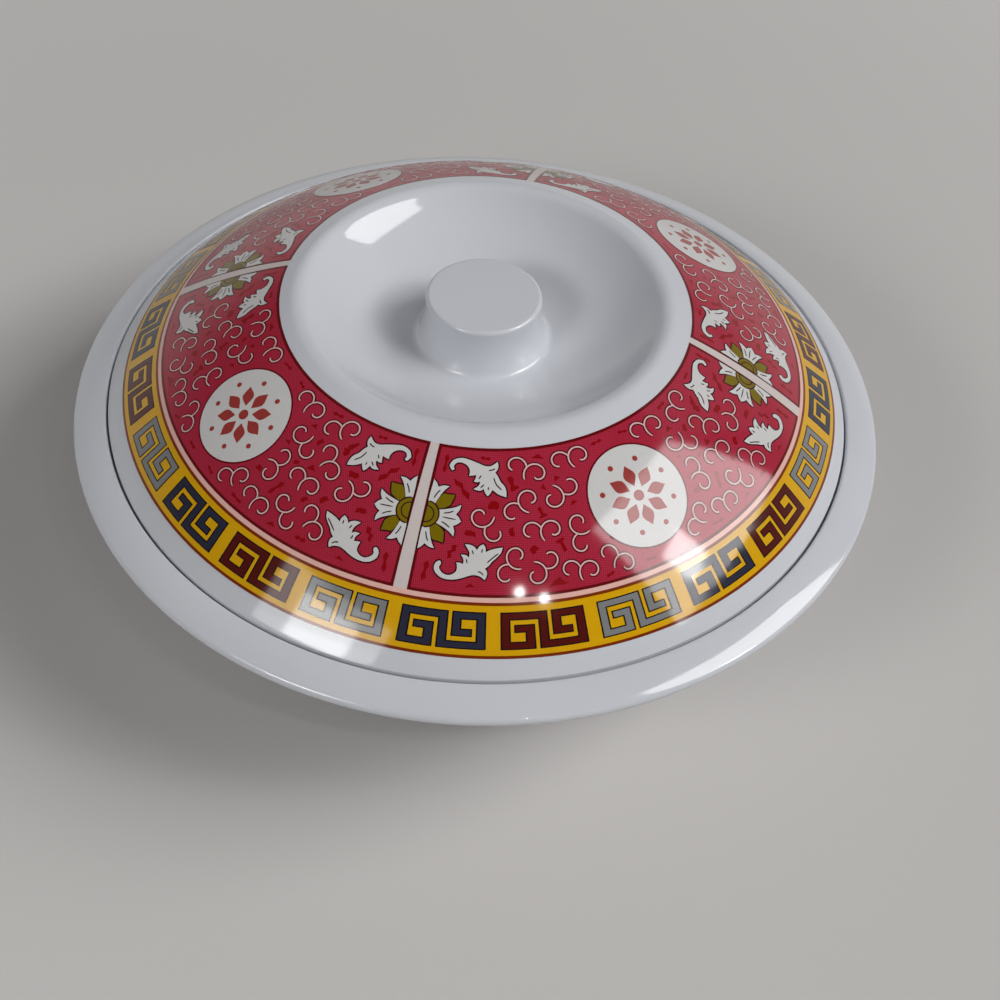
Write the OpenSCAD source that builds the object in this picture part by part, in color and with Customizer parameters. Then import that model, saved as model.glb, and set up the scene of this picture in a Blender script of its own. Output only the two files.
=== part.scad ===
// Covered serving bowl of moulded melamine: a round bowl with a wide rim, and a domed lid with
// an integral knob in a round recess. The lid sits loose on a seat inside the rim and lifts off.
// Millimetres, +Z up, origin at the centre of the foot ring's underside.

/* [Bowl] */
// Outer diameter of the rim
rim_d = 240; // [220:1:280]
// Height from the table to the rim's inner edge
bowl_h = 60; // [50:1:90]
// Width of the rim, from the lid's gap to the outer edge
rim_w = 9.8; // [7:0.1:14]
// Fall of the rim, from its inner edge to the middle of its outer edge
rim_fall = 4.5; // [3.5:0.1:6]
// Thickness of the rim's rounded outer edge
rim_edge_t = 3.4; // [2.4:0.1:4.4]
// Rise of the rim's upper face above a straight slope
rim_crown = 0.4; // [0:0.1:0.8]
// Radius of the rim's inner edge
rim_corner = 0.8; // [0.4:0.1:1.2]
// Depth of the lid's seat below the rim's inner edge
seat_depth = 3.6; // [2.6:0.1:4.6]
// Width of the lid's seat
seat_w = 5.6; // [5:0.1:8]
// Thickness of the wall and of the seat
bowl_wall = 3; // [2:0.1:4]
// Radius of the hollow under the rim
rim_hollow_r = 4; // [2:0.1:5]
// Thickness of the floor
floor_t = 3.2; // [2:0.1:5]
// Diameter of the flat part of the floor
floor_d = 80; // [60:1:96]

/* [Foot] */
// Outer diameter of the foot ring
foot_d = 116; // [104:1:130]
// Width of the foot ring
foot_w = 4; // [3:0.1:6]
// Height of the floor's underside above the table
foot_h = 3.2; // [2:0.1:5]
// Radius of the foot ring's lower edges
foot_round = 1; // [0.4:0.1:1.4]

/* [Lid] */
// Radial play between the lid and the rim
lid_gap = 0.6; // [0.4:0.1:1.6]
// Thickness of the lid's wall
lid_wall = 3; // [2:0.1:4]
// Radius of the dome's outer face
dome_r = 157.3; // [150:0.1:190]
// Height of the lid's upright edge, from the seat to its rounding
lid_edge_h = 3.5; // [3:0.1:6]
// Radius of the rounding between upright edge and dome
lid_edge_round = 0.6; // [0.4:0.1:2.5]
// Width of the flat ring that the lid stands on
lid_ring_w = 4.1; // [3:0.1:4.6]
// Radius of the ring's lower outer edge
lid_ring_round = 0.6; // [0.2:0.1:1]

/* [Recess and knob] */
// Radius of the crest round the recess
crest_r = 53.5; // [46:0.1:60]
// Inner radius of the crest's bend
crest_bend = 2; // [1:0.1:4]
// Depth of the recess at the knob, below the crest
recess_depth = 14.5; // [11:0.1:17]
// Slope of the recess at the knob, in degrees
recess_slope = 6; // [0:1:10]
// Diameter of the knob's top
knob_d = 33.4; // [26:0.1:38]
// Height of the knob above the recess
knob_h = 15.1; // [11:0.1:18]
// Radius of the knob's top edge
knob_edge = 1.2; // [0.6:0.1:2]
// Lean of the knob's side at its foot, in degrees
knob_flare = 17; // [10:0.1:35]
// Radius of the fillet at the knob's foot
knob_fillet = 2.2; // [1:0.1:4]

/* [Print] */
// White border between the crest and the print
print_inner_border = 4.6; // [4:0.1:10]
// White border between the print and the lid's edge
print_outer_border = 2.8; // [2:0.1:8]
// Thickness of the printed foil
print_t = 0.2; // [0.1:0.05:0.4]

/* [Hidden] */

// Segments of each curve in an outline
curve_steps = 16;
$fn = 144;

// Bowl: radii and heights
rim_r = rim_d / 2;
rim_in_r = rim_r - rim_w;
seat_in_r = rim_in_r - seat_w;
seat_z = bowl_h - seat_depth;
seat_under_z = seat_z - bowl_wall;
floor_r = floor_d / 2;
floor_z = foot_h + floor_t;
wall_out_r = seat_in_r + bowl_wall;
wall_top_z = seat_under_z - rim_hollow_r;
edge_half = rim_edge_t / 2;
edge_center = [rim_r - edge_half, bowl_h - rim_fall];
// Angle on the rim's round edge where the upper face meets it
edge_top_angle = 65;
foot_r = foot_d / 2;
foot_in_r = foot_r - foot_w;
// Half axes of the wall's inner and outer curves
in_axes = [seat_in_r - floor_r, wall_top_z - floor_z];
out_axes = [wall_out_r - floor_r, wall_top_z - foot_h];
wall_center = [floor_r, wall_top_z];

// Lid: edge and dome
lid_r = rim_in_r - lid_gap;
lid_ring_in_r = lid_r - lid_ring_w;
edge_round_r = lid_r - lid_edge_round;
edge_round_z = seat_z + lid_edge_h;
dome_z = edge_round_z - sqrt(pow(dome_r - lid_edge_round, 2) - pow(edge_round_r, 2));
dome_center = [0, dome_z];
dome_in_r = dome_r - lid_wall;
edge_angle = atan2(edge_round_z - dome_z, edge_round_r);

// Lid: crest round the recess, which touches the dome from inside
crest_round = crest_bend + lid_wall;
crest_z = dome_z + sqrt(pow(dome_r - crest_round, 2) - pow(crest_r, 2));
crest_center = [crest_r, crest_z];
crest_angle = atan2(crest_z - dome_z, crest_r);

// Lid: knob, from its foot to its top
recess_z = crest_z + crest_round - recess_depth;
knob_r = knob_d / 2;
knob_z = recess_z + knob_h;
knob_side_top = knob_z - knob_edge;
knob_side_foot = recess_z + knob_fillet * (cos(recess_slope) - sin(knob_flare));
knob_side_r = (knob_side_top - knob_side_foot) / sin(knob_flare);
knob_side_center = [knob_r + knob_side_r, knob_side_top];
knob_foot_r = knob_r + knob_side_r * (1 - cos(knob_flare));
fillet_center = [knob_foot_r, knob_side_foot] + knob_fillet * [cos(knob_flare), sin(knob_flare)];
// Angle at which the knob's inner side meets the underside of its top
knob_in_angle = asin((lid_wall - knob_edge) / (knob_side_r + lid_wall));

// Lid: recess, one curve from the knob's fillet to the crest
recess_start = fillet_center + knob_fillet * [sin(recess_slope), -cos(recess_slope)];
recess_normal = [-sin(recess_slope), cos(recess_slope)];
to_crest = crest_center - recess_start;
recess_r = (to_crest * to_crest - pow(crest_round, 2))
    / (2 * (to_crest * recess_normal + crest_round));
recess_center = recess_start + recess_r * recess_normal;
recess_angle = atan2(crest_z - recess_center[1], crest_r - recess_center[0]);

// Print: angles of its edges on the dome
print_in_angle = acos((crest_r + print_inner_border) / dome_r);
print_out_angle = acos((lid_r - print_outer_border) / dome_r);
print_back_r = dome_r - print_t;

// Points on part of an ellipse, from angle a to angle b
function ellipse(center, axes, a, b) =
    [for (i = [0:curve_steps]) let (t = a + (b - a) * i / curve_steps)
        center + [axes[0] * cos(t), axes[1] * sin(t)]];

// Points on part of a circle
function arc(center, r, a, b) = ellipse(center, [r, r], a, b);

// Points on a shallow bow from p to q that rises by the given height
function bow(p, q, rise) =
    [for (i = [1:curve_steps - 1]) let (t = i / curve_steps)
        p + (q - p) * t + [0, 4 * rise * t * (1 - t)]];

// Angle of the wall's outer curve at a given radius
function wall_angle(r) = -acos((r - floor_r) / out_axes[0]);

// Half outline of the bowl, from the floor's underside round the rim to the floor's upper face
module bowl_outline() {
    edge_top = edge_center + edge_half * [cos(edge_top_angle), sin(edge_top_angle)];
    rim_top = [rim_in_r + rim_corner, bowl_h];
    polygon(concat(
        [[0, foot_h]],
        ellipse(wall_center, out_axes, -90, wall_angle(foot_in_r)),
        arc([foot_in_r + foot_round, foot_round], foot_round, 180, 270),
        arc([foot_r - foot_round, foot_round], foot_round, -90, 0),
        ellipse(wall_center, out_axes, wall_angle(foot_r), 0),
        arc([wall_out_r + rim_hollow_r, wall_top_z], rim_hollow_r, 180, 90),
        arc(edge_center, edge_half, -90, edge_top_angle),
        bow(edge_top, rim_top, rim_crown),
        arc([rim_in_r + rim_corner, bowl_h - rim_corner], rim_corner, 90, 180),
        [[rim_in_r, seat_z], [seat_in_r, seat_z]],
        ellipse(wall_center, in_axes, 0, -90),
        [[0, floor_z]]
    ));
}

// Upper outline of the lid, from the knob's top to the lid's lower edge
function lid_top_points() = concat(
    [[0, knob_z]],
    arc([knob_r - knob_edge, knob_side_top], knob_edge, 90, 0),
    arc(knob_side_center, knob_side_r, 180, 180 + knob_flare),
    arc(fillet_center, knob_fillet, 180 + knob_flare, 270 + recess_slope),
    arc(recess_center, recess_r, recess_slope - 90, recess_angle),
    arc(crest_center, crest_round, recess_angle + 180, crest_angle),
    arc(dome_center, dome_r, crest_angle, print_in_angle),
    arc(dome_center, print_back_r, print_in_angle, print_out_angle),
    arc(dome_center, dome_r, print_out_angle, edge_angle),
    arc([edge_round_r, edge_round_z], lid_edge_round, edge_angle, 0),
    arc([lid_r - lid_ring_round, seat_z + lid_ring_round], lid_ring_round, 0, -90)
);

// Under outline of the lid, one wall below the upper one, from the ring to the knob's hollow
function lid_under_points() = concat(
    [[lid_ring_in_r, seat_z]],
    arc(dome_center, dome_in_r, acos(lid_ring_in_r / dome_in_r), crest_angle),
    arc(crest_center, crest_bend, crest_angle, recess_angle + 180),
    arc(recess_center, recess_r + lid_wall, recess_angle, recess_slope - 90),
    arc(fillet_center, knob_fillet + lid_wall, 270 + recess_slope, 180 + knob_flare),
    arc(knob_side_center, knob_side_r + lid_wall, 180 + knob_flare, 180 + knob_in_angle),
    [[0, knob_z - lid_wall]]
);

// Bowl: one moulding with its rim, the lid's seat and the foot ring
module bowl() {
    color("whitesmoke")
        rotate_extrude()
            bowl_outline();
}

// Lid: one moulding, hollow under the knob, with a shallow bed for the print
module lid() {
    color("white")
        rotate_extrude()
            polygon(concat(lid_top_points(), lid_under_points()));
}

// Print: ring of printed foil, moulded flush into the dome
module lid_print() {
    color("crimson")
        rotate_extrude()
            polygon(concat(
                arc(dome_center, dome_r, print_in_angle, print_out_angle),
                arc(dome_center, print_back_r, print_out_angle, print_in_angle)
            ));
}

bowl();
lid();
lid_print();
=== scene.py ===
"""A covered serving bowl of white melamine: bowl, domed lid with a knob, and the lid's printed foil."""
import math

import bpy
from mathutils import Matrix, Vector
from mathutils.geometry import delaunay_2d_cdt


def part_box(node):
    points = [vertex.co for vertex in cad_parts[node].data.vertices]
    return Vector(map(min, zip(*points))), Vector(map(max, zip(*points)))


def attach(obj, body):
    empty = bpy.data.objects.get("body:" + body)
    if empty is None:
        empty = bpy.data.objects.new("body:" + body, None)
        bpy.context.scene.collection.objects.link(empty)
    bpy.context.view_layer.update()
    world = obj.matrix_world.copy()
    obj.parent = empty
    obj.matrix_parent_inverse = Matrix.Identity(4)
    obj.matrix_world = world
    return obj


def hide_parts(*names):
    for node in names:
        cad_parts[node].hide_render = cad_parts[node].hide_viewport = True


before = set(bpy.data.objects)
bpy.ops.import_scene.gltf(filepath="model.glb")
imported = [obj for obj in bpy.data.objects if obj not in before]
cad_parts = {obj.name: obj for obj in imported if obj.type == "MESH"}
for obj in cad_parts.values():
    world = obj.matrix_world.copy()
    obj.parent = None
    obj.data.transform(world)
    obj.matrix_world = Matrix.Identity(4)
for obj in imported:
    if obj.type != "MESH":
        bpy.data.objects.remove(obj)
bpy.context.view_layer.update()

# Bowl: one compression moulding of white melamine, pressed in a polished steel die, so every edge
# is a small radius. The wide rim droops, a step inside it carries the lid, and a ring under the
# floor is its foot.
MM = 0.001
TURNED_SEGMENTS = 192
TURNED_STEP_MM = 1.5
SHARP_EDGE_ANGLE = 35
rim_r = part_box("bowl")[1].x / MM
bowl_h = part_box("bowl")[1].z / MM
rim_w = 9.8
rim_fall = 4.5
rim_edge_r = 1.7
rim_edge_top_angle = 65
rim_crown = 0.4
rim_face_steps = 12
rim_corner_r = 0.8
seat_depth = 3.6
seat_w = 5.6
bowl_wall = 3.0
rim_hollow_r = 4.0
floor_t = 3.2
floor_r = 40.0
foot_r = 58.0
foot_w = 4.0
foot_h = 3.2
foot_round = 1.0


def node(tree, kind, inputs=None, **settings):
    """Adds a node, sets its properties, and sets or links its inputs by name or number."""
    made = tree.nodes.new(kind)
    for name, value in settings.items():
        setattr(made, name, value)
    for name, value in (inputs or {}).items():
        if isinstance(value, bpy.types.NodeSocket):
            tree.links.new(value, made.inputs[name])
        else:
            made.inputs[name].default_value = value
    return made


def colour(code):
    """Linear RGBA of an sRGB hex value."""
    parts = [int(code[i:i + 2], 16) / 255 for i in (1, 3, 5)]
    return [c / 12.92 if c <= 0.04045 else ((c + 0.055) / 1.055) ** 2.4 for c in parts] + [1]


def white_melamine():
    """Moulded melamine resin: a hard, dense gloss with a faint swell and a slightly cloudy white."""
    shaded, pale = "#CFD1D8", "#D6D8DD"
    cloud_mm, smear_mm, swell_mm = 45, 7, 16
    swell_height_mm, swell_strength = 0.12, 0.12
    smear_from, smear_to = 0.35, 0.7
    clean_rough, smeared_rough, ior = 0.055, 0.11, 1.58
    made = bpy.data.materials.new("white_melamine_moulded")
    made.use_nodes = True
    tree = made.node_tree
    shader = tree.nodes["Principled BSDF"]
    place = node(tree, "ShaderNodeTexCoord").outputs["Object"]
    cloud = node(tree, "ShaderNodeTexNoise", {"Vector": place, "Scale": 1 / (cloud_mm * MM),
                                              "Detail": 3})
    white = node(tree, "ShaderNodeMix", {"Factor": cloud.outputs["Fac"], 6: colour(shaded),
                                         7: colour(pale)}, data_type="RGBA")
    smear = node(tree, "ShaderNodeTexNoise", {"Vector": place, "Scale": 1 / (smear_mm * MM),
                                              "Detail": 5})
    gloss = node(tree, "ShaderNodeMapRange", {"Value": smear.outputs["Fac"], "From Min": smear_from,
                                              "From Max": smear_to, "To Min": clean_rough,
                                              "To Max": smeared_rough})
    swell = node(tree, "ShaderNodeTexNoise", {"Vector": place, "Scale": 1 / (swell_mm * MM),
                                              "Detail": 1})
    bump = node(tree, "ShaderNodeBump", {"Height": swell.outputs["Fac"], "Strength": swell_strength,
                                         "Distance": swell_height_mm * MM})
    tree.links.new(white.outputs[2], shader.inputs["Base Color"])
    tree.links.new(gloss.outputs["Result"], shader.inputs["Roughness"])
    tree.links.new(bump.outputs["Normal"], shader.inputs["Normal"])
    shader.inputs["IOR"].default_value = ior
    return made


def arc(center, axes, start, end):
    """Points on part of an ellipse, in degrees, close enough to look round."""
    step_angle, step_mm = 8, 1.5
    turn = abs(end - start)
    reach = math.radians(turn) * max(axes)
    steps = max(math.ceil(turn / step_angle), math.ceil(reach / step_mm), 1)
    angles = [math.radians(start + (end - start) * i / steps) for i in range(steps + 1)]
    return [(center[0] + axes[0] * math.cos(a), center[1] + axes[1] * math.sin(a)) for a in angles]


def evenly(points, longest):
    """The same line with its long straight stretches cut into short ones."""
    line = [points[0]]
    for p, q in zip(points, points[1:]):
        steps = max(1, math.ceil(math.dist(p, q) / longest))
        line += [(p[0] + (q[0] - p[0]) * i / steps, p[1] + (q[1] - p[1]) * i / steps)
                 for i in range(1, steps + 1)]
    return line


def turning_tree():
    """Turns an outline, drawn in X and Z, about the Z axis into one closed skin."""
    seam = 1e-6
    tree = bpy.data.node_groups.new("turned moulding", "GeometryNodeTree")
    tree.interface.new_socket("Outline", in_out="INPUT", socket_type="NodeSocketGeometry")
    tree.interface.new_socket("Segments", in_out="INPUT", socket_type="NodeSocketInt")
    tree.interface.new_socket("Material", in_out="INPUT", socket_type="NodeSocketMaterial")
    tree.interface.new_socket("Skin", in_out="OUTPUT", socket_type="NodeSocketGeometry")
    given = node(tree, "NodeGroupInput").outputs
    count = node(tree, "GeometryNodeAttributeDomainSize", {0: given["Outline"]}).outputs["Point Count"]
    columns = node(tree, "FunctionNodeIntegerMath", {0: given["Segments"], 1: 1}).outputs[0]
    grid = node(tree, "GeometryNodeMeshGrid", {"Vertices X": columns, "Vertices Y": count})
    index = node(tree, "GeometryNodeInputIndex").outputs[0]
    row = node(tree, "FunctionNodeIntegerMath", {0: index, 1: count}, operation="MODULO").outputs[0]
    column = node(tree, "FunctionNodeIntegerMath", {0: index, 1: count},
                  operation="DIVIDE_FLOOR").outputs[0]
    place = node(tree, "GeometryNodeInputPosition").outputs[0]
    point = node(tree, "GeometryNodeSampleIndex", {"Geometry": given["Outline"], "Value": place,
                                                   "Index": row}, data_type="FLOAT_VECTOR")
    share = node(tree, "ShaderNodeMath", {0: column, 1: given["Segments"]},
                 operation="DIVIDE").outputs[0]
    angle = node(tree, "ShaderNodeMath", {0: share, 1: math.tau}, operation="MULTIPLY").outputs[0]
    turned = node(tree, "ShaderNodeVectorRotate", {"Vector": point.outputs[0], "Angle": angle},
                  rotation_type="Z_AXIS")
    skin = node(tree, "GeometryNodeSetPosition", {"Geometry": grid.outputs["Mesh"],
                                                  "Position": turned.outputs[0]})
    closed = node(tree, "GeometryNodeMergeByDistance", {"Geometry": skin.outputs[0], "Distance": seam})
    smooth = node(tree, "GeometryNodeSetShadeSmooth", {"Geometry": closed.outputs[0]})
    whole = node(tree, "GeometryNodeRealizeInstances", {"Geometry": smooth.outputs[0]})
    dressed = node(tree, "GeometryNodeSetMaterial", {"Geometry": whole.outputs[0],
                                                     "Material": given["Material"]})
    node(tree, "NodeGroupOutput", {"Skin": dressed.outputs[0]})
    return tree


def made_by(tree, name, points, edges, faces, values):
    """A piece at the origin: the plain mesh that a tree makes of the given one."""
    mesh = bpy.data.meshes.new(name)
    mesh.from_pydata(points, edges, faces)
    piece = bpy.data.objects.new(name, mesh)
    bpy.context.scene.collection.objects.link(piece)
    modifier = piece.modifiers.new(tree.name, "NODES")
    modifier.node_group = tree
    for socket in tree.interface.items_tree:
        if socket.name in values:
            modifier[socket.identifier] = values[socket.name]
    bpy.context.view_layer.update()
    done = bpy.data.meshes.new_from_object(piece.evaluated_get(bpy.context.evaluated_depsgraph_get()))
    piece.modifiers.remove(modifier)
    piece.data = done
    done.name = name
    done.set_sharp_from_angle(angle=math.radians(SHARP_EDGE_ANGLE))
    return piece


def turned(name, outline, material):
    """A closed moulding turned from a half outline in millimetres, radius and height."""
    line = evenly(outline, TURNED_STEP_MM)
    points = [(r * MM, 0, z * MM) for r, z in line]
    edges = [(i, i + 1) for i in range(len(points) - 1)]
    return made_by(turning, name, points, edges, [], {"Segments": TURNED_SEGMENTS, "Material": material})


rim_in_r = rim_r - rim_w
seat_z = bowl_h - seat_depth
seat_in_r = rim_in_r - seat_w
wall_top_z = seat_z - bowl_wall - rim_hollow_r
wall_out_r = seat_in_r + bowl_wall
wall_center = (floor_r, wall_top_z)
floor_z = foot_h + floor_t
inner_axes = (seat_in_r - floor_r, wall_top_z - floor_z)
outer_axes = (wall_out_r - floor_r, wall_top_z - foot_h)
edge_center = (rim_r - rim_edge_r, bowl_h - rim_fall)
edge_top = arc(edge_center, (rim_edge_r, rim_edge_r), rim_edge_top_angle, rim_edge_top_angle)[0]
rim_top = (rim_in_r + rim_corner_r, bowl_h)
foot_turn_in = -math.degrees(math.acos((foot_r - foot_w - floor_r) / outer_axes[0]))
foot_turn_out = -math.degrees(math.acos((foot_r - floor_r) / outer_axes[0]))
rim_face = [(edge_top[0] + (rim_top[0] - edge_top[0]) * t,
             edge_top[1] + (rim_top[1] - edge_top[1]) * t + 4 * rim_crown * t * (1 - t))
            for t in [i / rim_face_steps for i in range(1, rim_face_steps)]]
bowl_outline = (
    [(0, foot_h)]
    + arc(wall_center, outer_axes, -90, foot_turn_in)
    + arc((foot_r - foot_w + foot_round, foot_round), (foot_round, foot_round), 180, 270)
    + arc((foot_r - foot_round, foot_round), (foot_round, foot_round), -90, 0)
    + arc(wall_center, outer_axes, foot_turn_out, 0)
    + arc((wall_out_r + rim_hollow_r, wall_top_z), (rim_hollow_r, rim_hollow_r), 180, 90)
    + arc(edge_center, (rim_edge_r, rim_edge_r), -90, rim_edge_top_angle)
    + rim_face
    + arc((rim_top[0], bowl_h - rim_corner_r), (rim_corner_r, rim_corner_r), 90, 180)
    + [(rim_in_r, seat_z), (seat_in_r, seat_z)]
    + arc(wall_center, inner_axes, 0, -90)
    + [(0, floor_z)]
)
melamine = white_melamine()
turning = turning_tree()
bowl = turned("bowl_moulding", bowl_outline, melamine)
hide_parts("bowl")
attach(bowl, "bowl")

# Lid: a second melamine moulding of even wall. Its upright edge stands loose on the bowl's step,
# and the dome rises to a crest, falls into a round recess and rises again as the hollow knob,
# which fingers in the recess grip. A shallow bed in the dome takes the printed foil.
lid_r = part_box("lid")[1].x / MM
lid_wall = 3.0
dome_r = 157.3
lid_edge_h = 3.5
lid_edge_round = 0.6
lid_ring_w = 4.1
lid_ring_round = 0.6
crest_r = 53.5
crest_bend = 2.0
recess_depth = 14.5
recess_slope = 6.0
knob_r = 16.7
knob_h = 15.1
knob_edge = 1.2
knob_flare = 17.0
knob_fillet = 2.2
foil_t = 0.2
foil_from_crest = 4.6
foil_in_r = crest_r + foil_from_crest
foil_out_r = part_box("lid_print")[1].x / MM


def round_arc(center, radius, start, end):
    """Points on part of a circle."""
    return arc(center, (radius, radius), start, end)


def on_circle(center, radius, angle):
    """One point of a circle."""
    a = math.radians(angle)
    return Vector(center) + radius * Vector((math.cos(a), math.sin(a)))


edge_round = (lid_r - lid_edge_round, seat_z + lid_edge_h)
dome = (0, edge_round[1] - math.sqrt((dome_r - lid_edge_round) ** 2 - edge_round[0] ** 2))
edge_angle = math.degrees(math.atan2(edge_round[1] - dome[1], edge_round[0]))
crest_out_r = crest_bend + lid_wall
crest = (crest_r, dome[1] + math.sqrt((dome_r - crest_out_r) ** 2 - crest_r ** 2))
crest_angle = math.degrees(math.atan2(crest[1] - dome[1], crest_r))
recess_z = crest[1] + crest_out_r - recess_depth
knob_side_top = recess_z + knob_h - knob_edge
knob_side_foot = recess_z + knob_fillet * (math.cos(math.radians(recess_slope))
                                           - math.sin(math.radians(knob_flare)))
knob_side_r = (knob_side_top - knob_side_foot) / math.sin(math.radians(knob_flare))
knob_side = (knob_r + knob_side_r, knob_side_top)
fillet = on_circle(on_circle(knob_side, knob_side_r, 180 + knob_flare), knob_fillet, knob_flare)
recess_start = on_circle(fillet, knob_fillet, recess_slope - 90)
recess_normal = on_circle((0, 0), 1, recess_slope + 90)
to_crest = Vector(crest) - recess_start
crest_rise = to_crest.dot(recess_normal) + crest_out_r
recess_r = (to_crest.length_squared - crest_out_r ** 2) / (2 * crest_rise)
recess = recess_start + recess_r * recess_normal
recess_angle = math.degrees(math.atan2(crest[1] - recess[1], crest[0] - recess[0]))
knob_in_angle = math.degrees(math.asin((lid_wall - knob_edge) / (knob_side_r + lid_wall)))
foil_in_angle = math.degrees(math.acos(foil_in_r / dome_r))
foil_out_angle = math.degrees(math.acos(foil_out_r / dome_r))
ring_in_r = lid_r - lid_ring_w
ring_angle = math.degrees(math.acos(ring_in_r / (dome_r - lid_wall)))
lid_outline = (
    [(0, knob_side_top + knob_edge - lid_wall)]
    + round_arc(knob_side, knob_side_r + lid_wall, 180 + knob_in_angle, 180 + knob_flare)
    + round_arc(fillet, knob_fillet + lid_wall, 180 + knob_flare, 270 + recess_slope)
    + round_arc(recess, recess_r + lid_wall, recess_slope - 90, recess_angle)
    + round_arc(crest, crest_bend, recess_angle + 180, crest_angle)
    + round_arc(dome, dome_r - lid_wall, crest_angle, ring_angle)
    + [(ring_in_r, seat_z)]
    + round_arc((lid_r - lid_ring_round, seat_z + lid_ring_round), lid_ring_round, -90, 0)
    + round_arc(edge_round, lid_edge_round, 0, edge_angle)
    + round_arc(dome, dome_r, edge_angle, foil_out_angle)
    + round_arc(dome, dome_r - foil_t, foil_out_angle, foil_in_angle)
    + round_arc(dome, dome_r, foil_in_angle, crest_angle)
    + round_arc(crest, crest_out_r, crest_angle, recess_angle + 180)
    + round_arc(recess, recess_r, recess_angle, recess_slope - 90)
    + round_arc(fillet, knob_fillet, 270 + recess_slope, 180 + knob_flare)
    + round_arc(knob_side, knob_side_r, 180 + knob_flare, 180)
    + round_arc((knob_r - knob_edge, knob_side_top), knob_edge, 0, 90)
    + [(0, knob_side_top + knob_edge)]
)
lid = turned("lid_moulding", lid_outline, melamine)
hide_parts("lid")
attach(lid, "lid")

# Foil: a ring of paper soaked in clear resin, printed, and pressed into the lid's dome while the
# moulding is hot, so it lies flush under the same gloss. Its bare edges match the white moulding.
RESIN_IOR = 1.5
RESIN_ROUGHNESS = 0.08
foil_outline = (
    round_arc(dome, dome_r - foil_t, foil_in_angle, foil_out_angle)
    + round_arc(dome, dome_r, foil_out_angle, foil_in_angle)
    + [on_circle(dome, dome_r - foil_t, foil_in_angle)]
)


def glazed_ink(name, ink, faded, grain_mm=0.9):
    """Printing ink under clear resin: an even gloss over colour with a little grain of the paper."""
    made = bpy.data.materials.new(name)
    made.use_nodes = True
    tree = made.node_tree
    shader = tree.nodes["Principled BSDF"]
    place = node(tree, "ShaderNodeTexCoord").outputs["Object"]
    grain = node(tree, "ShaderNodeTexNoise", {"Vector": place, "Scale": 1 / (grain_mm * MM),
                                              "Detail": 2})
    mixed = node(tree, "ShaderNodeMix", {"Factor": grain.outputs["Fac"], 6: colour(ink),
                                         7: colour(faded)}, data_type="RGBA")
    tree.links.new(mixed.outputs[2], shader.inputs["Base Color"])
    shader.inputs["Roughness"].default_value = RESIN_ROUGHNESS
    shader.inputs["IOR"].default_value = RESIN_IOR
    return made


paper_white = glazed_ink("printed_foil_bare_paper", "#D0D2D7", "#D4D6DB")
foil = turned("printed_foil", foil_outline, paper_white)
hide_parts("lid_print")
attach(foil, "lid")

# Grounds of the print: four crimson panels with dividers, a pale line and a yellow band. The print is
# drawn flat in mm for the front panel, and wrapped on the dome so that circles stay round. The foil
# was laid in by hand, so it all sits a little to the right of the lid's axis.
FRONT = -90
PRINT_MESH_MM = 2.0
panel_in, panel_out = 61.1, 103.6
panel_half_angle = 45
panel_line = 0.86
divider_half_angle = 1.12
pale_line = (103.6, 105.4)
inner_brown_line = (105.0, 105.9)
yellow_band = (105.4, 120.8)
outer_brown_line = (120.3, 121.2)
first_divider = -101.17
print_shift = 0.85
GROUND, LINE, SHADOW, FILL, VEIN = 0.03, 0.05, 0.07, 0.09, 0.11


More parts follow.
